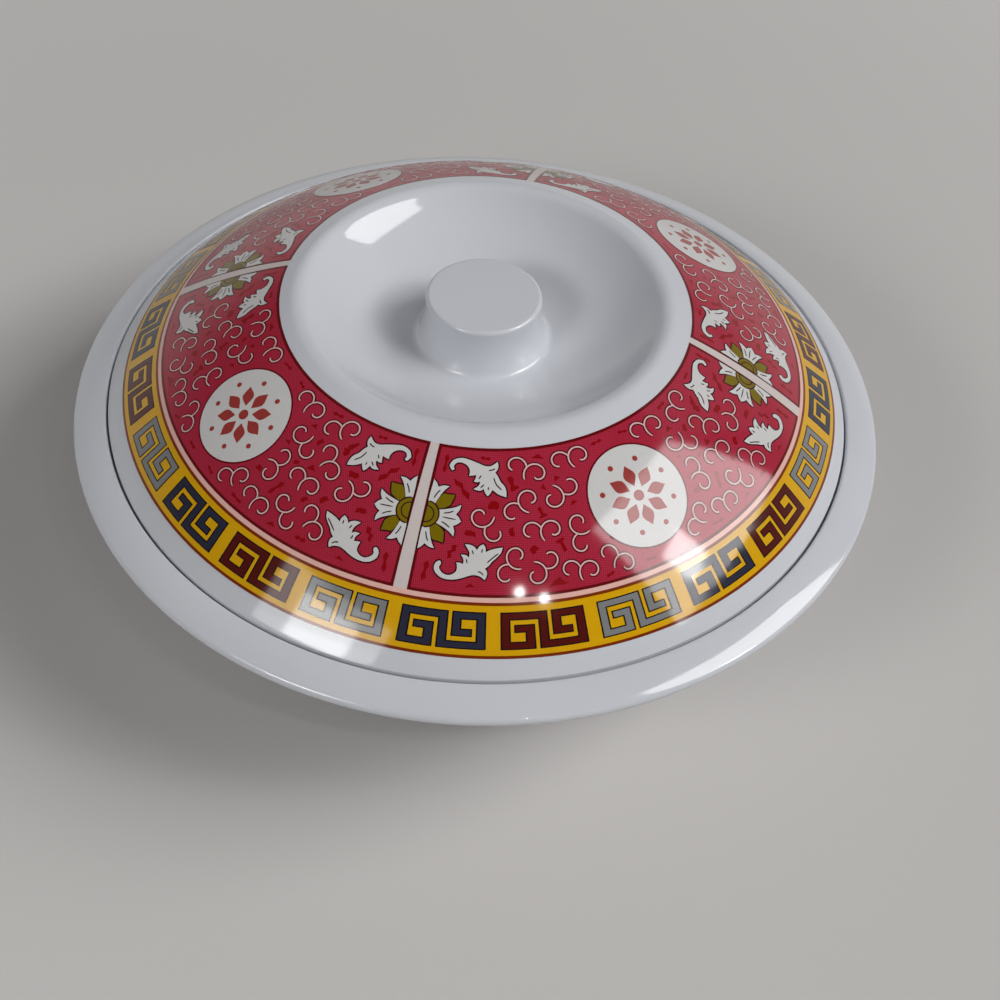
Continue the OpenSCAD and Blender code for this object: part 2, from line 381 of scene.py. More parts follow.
def wrapping_tree():
    """Thickens a flat drawing, repeats it round the axis and wraps it on the dome, by a projection
    from the dome's far pole, which keeps circles round."""
    seam = 1e-7
    tree = bpy.data.node_groups.new("print wrapped on dome", "GeometryNodeTree")
    tree.interface.new_socket("Drawing", in_out="INPUT", socket_type="NodeSocketGeometry")
    tree.interface.new_socket("Copies", in_out="INPUT", socket_type="NodeSocketInt")
    for name in ("First turn", "Lift", "Dome radius", "Dome height", "Tilt"):
        tree.interface.new_socket(name, in_out="INPUT", socket_type="NodeSocketFloat")
    tree.interface.new_socket("Material", in_out="INPUT", socket_type="NodeSocketMaterial")
    tree.interface.new_socket("Print", in_out="OUTPUT", socket_type="NodeSocketGeometry")
    given = node(tree, "NodeGroupInput").outputs
    raised = node(tree, "GeometryNodeExtrudeMesh", {"Mesh": given["Drawing"], "Offset": (0, 0, 1),
                                                    "Offset Scale": given["Lift"], "Individual": False})
    under = node(tree, "GeometryNodeFlipFaces", {"Mesh": given["Drawing"]})
    both = node(tree, "GeometryNodeJoinGeometry")
    tree.links.new(raised.outputs["Mesh"], both.inputs[0])
    tree.links.new(under.outputs["Mesh"], both.inputs[0])
    sheet = node(tree, "GeometryNodeMergeByDistance", {"Geometry": both.outputs[0], "Distance": seam})
    spots = node(tree, "GeometryNodePoints", {"Count": given["Copies"]})
    index = node(tree, "GeometryNodeInputIndex").outputs[0]
    pitch = node(tree, "ShaderNodeMath", {0: math.tau, 1: given["Copies"]},
                 operation="DIVIDE").outputs[0]
    turn = node(tree, "ShaderNodeMath", {0: index, 1: pitch, 2: given["First turn"]},
                operation="MULTIPLY_ADD").outputs[0]
    euler = node(tree, "ShaderNodeCombineXYZ", {"Z": turn}).outputs[0]
    rotation = node(tree, "FunctionNodeEulerToRotation", {0: euler}).outputs[0]
    copies = node(tree, "GeometryNodeInstanceOnPoints", {"Points": spots.outputs[0],
                                                         "Instance": sheet.outputs[0],
                                                         "Rotation": rotation})
    whole = node(tree, "GeometryNodeRealizeInstances", {"Geometry": copies.outputs[0]})
    radius = given["Dome radius"]
    place = node(tree, "ShaderNodeSeparateXYZ", {0: node(tree, "GeometryNodeInputPosition").outputs[0]})
    x = node(tree, "ShaderNodeMath", {0: place.outputs[0], 1: radius}, operation="DIVIDE").outputs[0]
    y = node(tree, "ShaderNodeMath", {0: place.outputs[1], 1: radius}, operation="DIVIDE").outputs[0]
    x_squared = node(tree, "ShaderNodeMath", {0: x, 1: x}, operation="MULTIPLY").outputs[0]
    squared = node(tree, "ShaderNodeMath", {0: y, 1: y, 2: x_squared},
                   operation="MULTIPLY_ADD").outputs[0]
    quarter = node(tree, "ShaderNodeMath", {0: squared, 1: 0.25}, operation="MULTIPLY").outputs[0]
    fall = node(tree, "ShaderNodeMath", {0: 1.0, 1: quarter}, operation="SUBTRACT").outputs[0]
    spread = node(tree, "ShaderNodeMath", {0: 1.0, 1: quarter}, operation="ADD").outputs[0]
    reach = node(tree, "ShaderNodeMath", {0: radius, 1: place.outputs[2]}, operation="ADD").outputs[0]
    scale = node(tree, "ShaderNodeMath", {0: reach, 1: spread}, operation="DIVIDE").outputs[0]
    ray = node(tree, "ShaderNodeCombineXYZ", {"X": x, "Y": y, "Z": fall}).outputs[0]
    from_center = node(tree, "ShaderNodeVectorMath", {0: ray, "Scale": scale},
                       operation="SCALE").outputs[0]
    tilted = node(tree, "ShaderNodeVectorRotate", {"Vector": from_center, "Angle": given["Tilt"]},
                  rotation_type="Y_AXIS").outputs[0]
    center = node(tree, "ShaderNodeCombineXYZ", {"Z": given["Dome height"]}).outputs[0]
    on_dome = node(tree, "ShaderNodeVectorMath", {0: tilted, 1: center}, operation="ADD").outputs[0]
    wrapped = node(tree, "GeometryNodeSetPosition", {"Geometry": whole.outputs[0], "Position": on_dome})
    smooth = node(tree, "GeometryNodeSetShadeSmooth", {"Geometry": wrapped.outputs[0]})
    dressed = node(tree, "GeometryNodeSetMaterial", {"Geometry": smooth.outputs[0],
                                                     "Material": given["Material"]})
    node(tree, "NodeGroupOutput", {"Print": dressed.outputs[0]})
    return tree


def printed(name, drawing, material, lift, copies=4, first=first_divider + panel_half_angle - FRONT):
    """One ink of the print, from a flat drawing (points in millimetres, faces), on the lid's dome."""
    points = [(x * MM, y * MM, 0) for x, y in drawing[0]]
    ink = made_by(wrapping, name, points, [], drawing[1], {
        "Copies": copies, "First turn": math.radians(first), "Lift": lift * MM,
        "Dome radius": dome_r * MM, "Dome height": dome[1] * MM, "Tilt": print_shift / dome_r,
        "Material": material})
    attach(ink, "lid")
    return ink


def together(*drawings):
    """Several flat drawings as one."""
    points, faces = [], []
    for some_points, some_faces in drawings:
        faces += [[i + len(points) for i in face] for face in some_faces]
        points += some_points
    return points, faces


def band(inner, outer, start=0.0, end=360.0):
    """A ring, or part of one, drawn flat as small squares. Angles run from the front, in degrees."""
    across = max(1, math.ceil((outer - inner) / PRINT_MESH_MM))
    along = max(1, math.ceil(math.radians(end - start) * outer / PRINT_MESH_MM))
    whole = end - start == 360
    columns = along if whole else along + 1
    points = []
    for i in range(columns):
        a = math.radians(start + (end - start) * i / along + FRONT)
        points += [(r * math.cos(a), r * math.sin(a))
                   for r in [inner + (outer - inner) * j / across for j in range(across + 1)]]
    faces = []
    for i in range(along):
        here, there = i * (across + 1), (i + 1) % columns * (across + 1)
        faces += [(here + j, here + j + 1, there + j + 1, there + j) for j in range(across)]
    return points, faces


def filled(outlines, mesh_mm=None):
    """Flat triangles that fill closed outlines, joined where they overlap. A wide shape gets inner
    points every mesh_mm, so that it can follow the dome."""
    keep_inside, same_point_mm = 1, 1e-4
    points, loops = [], []
    for outline in outlines:
        loops.append(list(range(len(points), len(points) + len(outline))))
        points += [Vector(p) for p in outline]
    if mesh_mm:
        low = [min(p[i] for p in points) for i in (0, 1)]
        high = [max(p[i] for p in points) for i in (0, 1)]
        across, up = [math.ceil((high[i] - low[i]) / mesh_mm) for i in (0, 1)]
        points += [Vector((low[0] + (i + 0.5 * (j % 2)) * mesh_mm, low[1] + j * mesh_mm))
                   for i in range(across + 1) for j in range(up + 1)]
    corners, _, triangles, _, _, _ = delaunay_2d_cdt(points, [], loops, keep_inside, same_point_mm)
    used = sorted({i for t in triangles for i in t})
    number = {old: new for new, old in enumerate(used)}
    return [tuple(corners[i]) for i in used], [[number[i] for i in t] for t in triangles]


def side_line(angle, inward):
    """A dark line of even width along the straight side of a panel. Inward is 1 or -1."""
    a = math.radians(angle + FRONT)
    ends = [(r * math.cos(a), r * math.sin(a)) for r in (panel_in, panel_out)]
    across = Vector((-math.sin(a), math.cos(a))) * panel_line * inward
    corners = ends + [tuple(Vector(p) + across) for p in ends[::-1]]
    return evenly(corners + corners[:1], PRINT_MESH_MM)[:-1]


def crimson_ground():
    """Crimson ink laid as a screen of fine dots. The real screen is about 0.25 mm, too fine to show
    here, so it is drawn at three times that."""
    between_dots, dot, heavy = "#981830", "#BC3048", "#A01426"
    screen_mm, screen_angle, cloud_mm = 0.75, 38, 14
    heavy_from, heavy_to, heavy_most = 0.45, 0.75, 0.5
    made = bpy.data.materials.new("printed_foil_crimson_screen")
    made.use_nodes = True
    tree = made.node_tree
    shader = tree.nodes["Principled BSDF"]
    place = node(tree, "ShaderNodeTexCoord").outputs["Object"]
    diagonal = node(tree, "ShaderNodeMapping", {"Vector": place,
                                                "Rotation": (0, 0, math.radians(screen_angle)),
                                                "Scale": [math.tau / (screen_mm * MM)] * 3})
    axes = node(tree, "ShaderNodeSeparateXYZ", {0: diagonal.outputs[0]})
    one = node(tree, "ShaderNodeMath", {0: axes.outputs[0]}, operation="SINE").outputs[0]
    other = node(tree, "ShaderNodeMath", {0: axes.outputs[1]}, operation="SINE").outputs[0]
    dots = node(tree, "ShaderNodeMath", {0: one, 1: other}, operation="MULTIPLY").outputs[0]
    share = node(tree, "ShaderNodeMapRange", {"Value": dots, "From Min": -1.0, "From Max": 1.0})
    ink = node(tree, "ShaderNodeMix", {"Factor": share.outputs[0], 6: colour(between_dots),
                                       7: colour(dot)}, data_type="RGBA")
    cloud = node(tree, "ShaderNodeTexNoise", {"Vector": place, "Scale": 1 / (cloud_mm * MM),
                                              "Detail": 4})
    weight = node(tree, "ShaderNodeMapRange", {"Value": cloud.outputs["Fac"], "From Min": heavy_from,
                                               "From Max": heavy_to, "To Max": heavy_most})
    mixed = node(tree, "ShaderNodeMix", {"Factor": weight.outputs[0], 6: ink.outputs[2],
                                         7: colour(heavy)}, data_type="RGBA")
    tree.links.new(mixed.outputs[2], shader.inputs["Base Color"])
    shader.inputs["Roughness"].default_value = RESIN_ROUGHNESS
    shader.inputs["IOR"].default_value = RESIN_IOR
    return made


wrapping = wrapping_tree()
panel_side = panel_half_angle - divider_half_angle
panel = band(panel_in, panel_out, -panel_side, panel_side)
divider = band(panel_in, panel_out, -panel_half_angle - divider_half_angle, -panel_side)
brown_lines = together(band(*inner_brown_line), band(*outer_brown_line))
panel_edges = together(
    band(panel_in, panel_in + panel_line, -panel_side, panel_side),
    band(panel_out - panel_line, panel_out, -panel_side, panel_side),
    filled([side_line(-panel_side, 1), side_line(panel_side, -1)]),
)
divider_white = glazed_ink("printed_foil_divider_white", "#D2C5C1", "#D8CCC8")
dark_red = glazed_ink("printed_foil_dark_red", "#620408", "#6C0A10")
pale_pink = glazed_ink("printed_foil_pale_pink", "#E2AFAE", "#E8BAB8")
pale_rim = glazed_ink("printed_foil_pale_rim", "#E8B4A8", "#EEBFB4")
yellow = glazed_ink("printed_foil_yellow", "#DAA200", "#E0AC08", 3)
brown = glazed_ink("printed_foil_brown", "#782800", "#803204")
printed("print_dividers", divider, divider_white, GROUND)
printed("print_crimson_panels", panel, crimson_ground(), GROUND)
printed("print_panel_lines", panel_edges, dark_red, LINE)
printed("print_pale_line", band(*pale_line), pale_rim, GROUND, copies=1)
printed("print_yellow_band", band(*yellow_band), yellow, GROUND, copies=1)
printed("print_brown_lines", brown_lines, brown, LINE, copies=1)

# Fret border: 24 angular double spirals on the yellow band, six to each panel, in navy, maroon and
# grey by turns, each inside a thin dark line.
fret_in, fret_out = 107.85, 118.5
fret_start, fret_end = 1.0, 13.75
fret_cells = (9.4, 5.0)
fret_path = [(2.0, 2.8), (3.2, 2.8), (3.2, 0.5), (0.5, 0.5), (0.5, 4.5), (4.7, 4.5),
             (4.7, 0.5), (8.9, 0.5), (8.9, 4.5), (6.2, 4.5), (6.2, 2.2), (7.4, 2.2)]
fret_stroke, fret_edged_stroke = 0.76, 1.12
fret_mesh = 0.5
fret_count = 24


def fret(stroke):
    """The fret's path as bars of that width, bent to the band. Rows count from the outer edge in."""
    half = stroke / 2
    bars = []
    for p, q in zip(fret_path, fret_path[1:]):
        low = (min(p[0], q[0]) - half, min(p[1], q[1]) - half)
        high = (max(p[0], q[0]) + half, max(p[1], q[1]) + half)
        corners = [low, (high[0], low[1]), high, (low[0], high[1]), low]
        bars.append(evenly(corners, fret_mesh)[:-1])
    points, faces = filled(bars)
    bent = []
    for u, v in points:
        a = math.radians(fret_start + (fret_end - fret_start) * u / fret_cells[0] + FRONT)
        r = fret_out - (fret_out - fret_in) * v / fret_cells[1]
        bent.append((r * math.cos(a), r * math.sin(a)))
    return bent, faces


fret_line = glazed_ink("printed_foil_fret_line", "#120A0C", "#1C1214")
fret_inks = {"navy": glazed_ink("printed_foil_navy", "#28283A", "#303044"),
             "maroon": glazed_ink("printed_foil_maroon", "#500C06", "#5A140C"),
             "grey": glazed_ink("printed_foil_grey", "#7C7C7C", "#868686")}
first_fret = first_divider - FRONT
printed("print_fret_lines", fret(fret_edged_stroke), fret_line, LINE, fret_count, first_fret)
for place, (ink_name, ink) in enumerate(fret_inks.items()):
    printed("print_frets_" + ink_name, fret(fret_stroke), ink, SHADOW, fret_count // len(fret_inks),
            first_fret + place * 360 / fret_count)

# Scrolls: pairs of thin pale curls scattered over each crimson panel, drawn with a dark edge. Every
# pair is the same two spirals, turned and moved; none is mirrored. A spiral is its middle, the angles
# at which it starts and ends, and its radius there.
scroll_line, scroll_edge = 0.46, 0.36
scroll_taper = 0.6
scroll_curls = [((0, 0), 178, -156, 3.8, 1.1), ((-4.1, 4.7), -31, 205, 3.1, 1.4)]
scroll_pairs = [
    (-23.9, -64.9, 0), (-10.3, -65.5, 40), (-29.3, -70.2, 61), (-23.4, -73.0, -117),
    (-27.8, -80.9, 26), (-20.0, -82.2, 119), (-43.5, -67.8, 148), (-40.3, -82.6, 80),
    (-38.2, -89.8, -108), (-23.2, -95.9, 22), (-12.8, -98.6, -3),
    (27.0, -60.2, 97), (15.3, -65.4, 52), (33.7, -71.9, 22), (18.0, -71.9, -145),
    (34.0, -78.9, 62), (21.2, -86.2, -31), (40.6, -72.3, -64), (45.5, -85.4, 26),
    (32.2, -87.0, -156), (28.9, -94.0, 54), (16.8, -93.5, 93),
]


def spiral(center, start, end, outer, inner):
    """Points on a spiral that closes in from one radius to another."""
    step_angle = 9
    steps = math.ceil(abs(end - start) / step_angle)
    line = []
    for t in [i / steps for i in range(steps + 1)]:
        radius = outer + (inner - outer) * t
        line.append(tuple(on_circle(center, radius, start + (end - start) * t)))
    return line


def ribbon(line, width, ends=1.0):
    """Closed outline of a stroke along a line, with its two ends narrowed to a share of its width."""
    left, right = [], []
    for i, p in enumerate(line):
        along = (Vector(line[min(i + 1, len(line) - 1)]) - Vector(line[max(i - 1, 0)])).normalized()
        half = width / 2 * (ends if i in (0, len(line) - 1) else 1)
        side = Vector((-along.y, along.x)) * half
        left.append(tuple(Vector(p) + side))
        right.append(tuple(Vector(p) - side))
    return right + left[::-1]


def placed(points, x, y, turn=0.0, flip=1):
    """Points turned by an angle, mirrored in X first where flip is -1, and moved."""
    c, s = math.cos(math.radians(turn)), math.sin(math.radians(turn))
    return [(flip * px * c - py * s + x, flip * px * s + py * c + y) for px, py in points]


def scrolls(width):
    """All scroll pairs of a panel as strokes of that width."""
    curls = [ribbon(spiral(*curl), width, scroll_taper) for curl in scroll_curls]
    return filled([placed(curl, *pair) for pair in scroll_pairs for curl in curls])


scroll_shadow = glazed_ink("printed_foil_scroll_edge", "#3E040E", "#480812")
printed("print_scroll_edges", scrolls(scroll_line + 2 * scroll_edge), scroll_shadow, SHADOW)
printed("print_scrolls", scrolls(scroll_line), pale_pink, FILL)

# Brush marks: short ragged strokes of darker red scattered between the scrolls. Those by a divider
# are the same on both sides of it. Each is its shape, place, length, width and turn.
mark_shapes = {
    "chip": [(-0.5, -0.3), (-0.2, -0.5), (0.15, -0.35), (0.5, -0.5), (0.42, 0.3), (0.05, 0.5),
             (-0.38, 0.38)],
    "dash": [(-0.5, 0.1), (-0.3, -0.5), (0, -0.2), (0.28, -0.5), (0.5, -0.1), (0.33, 0.5), (0.05, 0.15),
             (-0.25, 0.5)],
    "wedge": [(-0.5, -0.5), (0.5, -0.3), (0.2, 0.05), (0.05, 0.5), (-0.22, 0.1)],
    "tee": [(-0.5, -0.5), (-0.3, -0.42), (-0.24, -0.16), (0.5, -0.22), (0.42, 0.2), (-0.26, 0.16),
            (-0.34, 0.5), (-0.5, 0.4)],
    "bolt": [(-0.5, -0.3), (-0.24, -0.5), (-0.05, -0.08), (0.2, -0.3), (0.5, 0.1), (0.3, 0.5),
             (0.05, 0.12), (-0.18, 0.35), (-0.3, 0)],
}
marks_by_divider = [
    ("dash", 4.3, -66.4, 5.6, 1.3, 92), ("dash", 14.4, -62.4, 3.0, 1.1, 8),
    ("bolt", 10.4, -72.4, 7.4, 2.4, -50), ("dash", 23.2, -67.4, 4.4, 1.8, -58),
    ("chip", 20.0, -74.5, 3.0, 1.8, 6), ("chip", 15.6, -84.2, 3.4, 1.7, 4),
    ("bolt", 11.8, -90.3, 4.6, 2.4, 55), ("dash", 5.8, -97.3, 6.0, 1.7, 88),
    ("wedge", 19.2, -98.4, 3.2, 1.2, 12),
]
marks_in_panel = [
    ("wedge", -21.0, -60.6, 3.6, 1.5, -35), ("dash", -4.0, -63.9, 3.8, 1.0, 4),
    ("tee", -31.4, -64.0, 4.2, 2.6, 90), ("chip", -39.2, -67.2, 3.0, 1.7, -35),
    ("wedge", -19.6, -68.2, 2.2, 1.6, 10), ("wedge", -24.3, -69.0, 2.2, 1.5, 80),
    ("tee", -28.2, -74.9, 3.2, 2.6, 90), ("chip", -38.3, -76.0, 2.6, 1.6, 70),
    ("wedge", -18.6, -76.4, 2.8, 1.2, 5), ("chip", -35.2, -83.2, 2.6, 2.1, 20),
    ("tee", -27.3, -85.9, 4.0, 2.8, -90), ("wedge", -33.2, -94.4, 6.0, 2.6, -22),
    ("dash", -18.6, -99.3, 2.8, 1.1, 8), ("dash", -5.0, -100.3, 3.8, 1.1, -4),
    ("dash", 20.3, -60.8, 3.8, 1.2, 25), ("dash", 4.7, -64.0, 3.0, 1.1, -8),
    ("tee", 31.3, -62.8, 4.6, 2.4, 88), ("dash", 38.2, -66.6, 3.4, 1.4, 30),
    ("wedge", 18.8, -67.8, 2.4, 1.6, 8), ("chip", 24.0, -69.3, 2.4, 1.5, 80),
    ("wedge", 29.0, -75.2, 3.0, 2.0, 25), ("wedge", 17.7, -76.4, 2.4, 1.3, -10),
    ("chip", 24.6, -78.0, 1.9, 1.3, 40), ("chip", 39.2, -77.6, 2.8, 1.8, 75),
    ("chip", 35.5, -82.2, 2.4, 1.5, 75), ("chip", 18.2, -87.7, 2.2, 1.7, 5),
    ("dash", 27.0, -87.0, 6.0, 1.5, 82), ("dash", 44.4, -89.5, 3.8, 1.5, 28),
    ("wedge", 35.0, -94.0, 3.4, 1.5, 22), ("dash", 20.8, -98.4, 5.2, 1.2, 6),
    ("dash", 7.0, -100.1, 3.6, 1.1, -8),
]


def by_divider(outline):
    """An outline drawn to the right of a divider at the front, on both sides of one panel."""
    return [placed(outline, 0, 0, -panel_half_angle), placed(outline, 0, 0, panel_half_angle, -1)]


def brush_mark(shape, x, y, length, width, turn):
    """One short ragged stroke."""
    return placed([(px * length, py * width) for px, py in mark_shapes[shape]], x, y, turn)


marks = [brush_mark(*m) for m in marks_in_panel]
for mark in marks_by_divider:
    marks += by_divider(brush_mark(*mark))
deep_red = glazed_ink("printed_foil_deep_red", "#8A0006", "#940410")
printed("print_brush_marks", filled(marks), deep_red, LINE)

# Leaf sprays: a white leaf with five points on a curled stem, two on each side of every divider,
# with a dark edge and dark veins. An outline's runs are smooth, and meet in the leaf's points and
# notches.
inner_spray = [
    [(5.5, -66.9), (5.6, -66.0), (6.2, -64.9), (7.5, -64.1), (9, -63.8), (11, -64.0), (13, -64.3),
     (14.8, -64.6), (16.2, -64.3), (17.2, -63.4), (17.8, -62.5)],
    [(18.3, -63.5), (18.4, -64.6), (18, -65.7)],
    [(19, -66.6), (20, -67.8), (21.5, -68.9), (22.3, -70.2), (22.7, -71.7)],
    [(21, -71.6), (19.8, -71.3), (18.5, -70.7)],
    [(18.2, -71.8), (17.7, -72.8)],
    [(16.9, -72.2), (16.1, -71.1)],
    [(15.3, -71.8), (14.3, -71.9), (13.4, -71.8)],
    [(14.3, -70.9), (14.7, -70.0), (14.6, -69.3)],
    [(13.8, -69.7), (13, -69.7)],
    [(13.2, -68.8), (13.2, -67.7)],
    [(12.3, -68.1), (11.3, -68.4)],
    [(11.3, -67.4), (10.8, -66.3), (9.8, -65.5), (8.5, -65.2), (7.3, -65.5), (6.7, -66.3), (6.7, -67.0),
     (7.0, -67.5), (6.4, -68.0)],
]
inner_spray_veins = [
    [(16.1, -65.6), (17, -65.2), (17.7, -64.6)], [(17.9, -67.2), (19.1, -68.9), (21, -70.1)],
    [(14.5, -67.5), (14.1, -68.7)], [(15.9, -69.8), (15.2, -71.0)], [(17.2, -70.2), (17.4, -71.1)],
]
outer_spray = [
    [(9.2, -93.6), (8.4, -94.2), (8.1, -95.2), (8.3, -96.4), (9.2, -97.4), (10.5, -98.1), (12, -98.3),
     (14, -98.0), (16, -97.2), (18, -96.0), (19.5, -95.3), (21, -95.2), (22, -95.5), (22.8, -95.9)],
    [(23.1, -94.8), (22.9, -93.5), (22.1, -92.8)],
    [(23, -91.6), (23.5, -90.4), (24.5, -88.9), (25.3, -87.3), (25.4, -85.7)],
    [(24, -86.3), (22.4, -87.2), (21.1, -88.2)],
    [(20.8, -87.1), (20, -86.2)],
    [(19.1, -87.0), (18.6, -88.3)],
    [(17.8, -87.6), (16.5, -87.3), (15, -87.5)],
    [(16, -88.5), (16.8, -89.5), (17, -90.9)],
    [(16, -90.4), (14.6, -90.6)],
    [(15.4, -91.4), (15.8, -92.2), (15.8, -93.1)],
    [(15, -92.9), (13.9, -93.0)],
    [(14.3, -93.9), (14.5, -95.1), (14.1, -96.0), (13.2, -96.8), (12, -97.1), (10.8, -96.8),
     (9.8, -96.0), (9.5, -95.2), (9.8, -94.5), (9.7, -93.9)],
]
outer_spray_veins = [
    [(20.3, -94.1), (21.2, -94.1), (22.2, -94.7)], [(24.7, -87.6), (23.5, -89.2), (22.2, -91.1)],
    [(20, -87.6), (20.1, -88.7)], [(17.3, -88.6), (18, -89.7)], [(16.4, -91.4), (16.9, -92.6)],
]
leaf_edge, vein_w, vein_taper = 0.42, 0.35, 0.4


def through(points, steps=4):
    """A smooth line through points: each stretch bends towards its neighbours."""
    ends = [2 * Vector(points[0]) - Vector(points[1])], [2 * Vector(points[-1]) - Vector(points[-2])]
    run = ends[0] + [Vector(p) for p in points] + ends[1]
    line = []
    for a, b, c, d in zip(run, run[1:], run[2:], run[3:]):
        for t in [i / steps for i in range(steps)]:
            line.append(tuple(0.5 * (2 * b + (c - a) * t + (2 * a - 5 * b + 4 * c - d) * t ** 2
                                     + (3 * b - a - 3 * c + d) * t ** 3)))
    return line + [tuple(points[-1])]


def drawn(runs):
    """A closed outline from runs of points, each of which starts where the last one ends."""
    outline, start = [], runs[-1][-1]
    for run in runs:
        outline += through([start] + run)[:-1]
        start = run[-1]
    return outline


def grown(outline, by):
    """A closed outline with its edge moved outwards."""
    around = list(zip(outline[-1:] + outline[:-1], outline, outline[1:] + outline[:1]))
    area = sum(p[0] * q[1] - q[0] * p[1] for _, p, q in around)
    moved = []
    for before, here, after in around:
        along = (Vector(after) - Vector(before)).normalized() * math.copysign(by, area)
        moved.append((here[0] + along.y, here[1] - along.x))
    return moved


def veins(lines):
    """Thin strokes along lines, tapered at both ends."""
    return [ribbon(through(line), vein_w, vein_taper) for line in lines]


leaves = by_divider(drawn(inner_spray)) + by_divider(drawn(outer_spray))
leaf_white = glazed_ink("printed_foil_leaf_white", "#D0CECC", "#D8D6D4")
leaf_line = glazed_ink("printed_foil_leaf_line", "#300810", "#3A0E16")
leaf_veins = []
for vein in veins(inner_spray_veins + outer_spray_veins):
    leaf_veins += by_divider(vein)
leaf_edges = [grown(leaf, leaf_edge) for leaf in leaves]
printed("print_leaf_edges", filled(leaf_edges, PRINT_MESH_MM), leaf_line, SHADOW)
printed("print_leaves", filled(leaves, PRINT_MESH_MM), leaf_white, FILL)
printed("print_leaf_veins", filled(leaf_veins), leaf_line, VEIN)

# Lotus flowers: half a flower on each side of every divider, which cuts it through the middle: a
# white petal to the side, half a petal along each end of the cut, olive petals between them and an
# olive heart with a ring.
lotus_center = (2.3, -81.6)
heart_r, heart_ring_r = 3.5, 2.3
OLIVE_PETAL, HEART_EDGE, HEART = 0.08, 0.095, 0.1
half_petal = [[(3.4, 0), (3.4, 1.9)], [(5.5, 2.6), (7.5, 3.5), (9.0, 4.6)], [(8.9, 3.1), (8.2, 1.65)],
              [(9.2, 1.0), (10.05, 0)]]
between_petal = [[(3.2, 2.2), (5.8, 3.6), (6.4, 5.3), (6.6, 6.9)],
                 [(5.0, 6.7), (3.6, 6.6), (2.6, 5.1), (2.1, 3.5)]]
petal_veins = [[(4.8, 1.2), (6.2, 1.7), (7.4, 2.4)], [(4.7, 0.1), (8.6, 0.2)]]


def flower(shapes):
    """Shapes drawn about a flower's middle, set on both sides of a panel's dividers."""
    return [side for shape in shapes for side in by_divider(placed(shape, *lotus_center))]


upper = drawn(half_petal)
lower = placed(upper, 0, 0, 180, -1)
along_cut = [placed(upper, 0, 0, -90, -1), placed(upper, 0, 0, -90)]
between = drawn(between_petal)
white_petals = [upper, lower] + along_cut
olive_petals = [between, [(x, -y) for x, y in between]]
heart = [round_arc((0, 0), heart_r, -90, 90)]
olive = glazed_ink("printed_foil_olive", "#766400", "#806E06")
petal_edges = [grown(petal, leaf_edge) for petal in white_petals + olive_petals]
heart_edges = [grown(half, leaf_edge) for half in heart]
printed("print_petal_edges", filled(flower(petal_edges), PRINT_MESH_MM), leaf_line, SHADOW)
printed("print_olive_petals", filled(flower(olive_petals), PRINT_MESH_MM), olive, OLIVE_PETAL)
printed("print_white_petals", filled(flower(white_petals), PRINT_MESH_MM), leaf_white, FILL)
printed("print_heart_edges", filled(flower(heart_edges), PRINT_MESH_MM), leaf_line, HEART_EDGE)
printed("print_flower_hearts", filled(flower(heart), PRINT_MESH_MM), olive, HEART)
ring_line = ribbon(round_arc((0, 0), heart_ring_r, -90, 90), vein_w)
petal_lines = veins(petal_veins + [[(x, -y) for x, y in line] for line in petal_veins[:1]])
upper_line = veins(petal_veins[:1])[0]
petal_lines += [placed(upper_line, 0, 0, -90, -1), placed(upper_line, 0, 0, -90)]
printed("print_flower_lines", filled(flower(petal_lines + [ring_line])), leaf_line, VEIN)

# Roundels: a white disc in the middle of each panel inside a dark line, with a rosette of eight
# petals in dark red.
roundel = (0, -82.5)
roundel_r, roundel_line = 15.1, 0.5
rosette_petals = 8
petal_from, petal_to, petal_half_w = 2.8, 9.2, 1.9
heart_dot_r, rim_dot_r, rim_dots_at = 1.6, 0.8, 10.9


def disc(center, radius):
    """Outline of a full circle."""
    return round_arc(center, radius, 0, 360)[:-1]


def rosette():
    """Pointed petals round a dot, with a smaller dot between each two."""
    middle = (petal_from + petal_to) / 2
    half = [(petal_from, 0), (middle, petal_half_w), (petal_to, 0)]
    petal = through(half)[:-1] + through([(x, -y) for x, y in half[::-1]])[:-1]
    shapes = [disc((0, 0), heart_dot_r)]
    for i in range(rosette_petals):
        turn = 360 * i / rosette_petals
        shapes.append(placed(petal, 0, 0, turn))
        shapes.append(disc(on_circle((0, 0), rim_dots_at, turn + 180 / rosette_petals), rim_dot_r))
    return [placed(shape, *roundel) for shape in shapes]


rosette_red = glazed_ink("printed_foil_rosette_red", "#9A3430", "#A43E38")
roundel_edge = disc(roundel, roundel_r + roundel_line)
printed("print_roundel_lines", filled([roundel_edge], PRINT_MESH_MM), dark_red, SHADOW)
printed("print_roundels", filled([disc(roundel, roundel_r)], PRINT_MESH_MM), leaf_white, FILL)
printed("print_rosettes", filled(rosette(), PRINT_MESH_MM), rosette_red, VEIN)

# Studio: a plain pale floor that runs into a pale wall all round. It is lit by a window with one
# bright pane on the right, a lamp in a dim glow at the front left, a weak lamp behind, two small spots
# for glints and a dim even sky. The camera stands where the picture was taken from.
floor_colour, wall_colour, sky_colour = "#CFCCC9", "#C8C6C4", "#E2E3E6"
sky_strength = 0.1
wall_solid_to, wall_gone_by = 0.1, 0.45
floor_half_side = 3.0
floor_fades_from, floor_gone_by = 0.15, 1.0
floor_roughness = 0.9
aim = Vector((0.75 * MM, 0, 43.25 * MM))
camera_distance = 503.49 * MM
camera_elevation = 44.916
camera_yaw, camera_pitch, camera_roll = 0.858, -2.616, 3.206
camera_lens = 58.652


def toward(azimuth, elevation=0):
    """A direction from the bowl. Azimuth 0 is behind it and 90 on its right."""
    a, e = math.radians(azimuth), math.radians(elevation)
    return Vector((math.sin(a) * math.cos(e), math.cos(a) * math.cos(e), math.sin(e)))


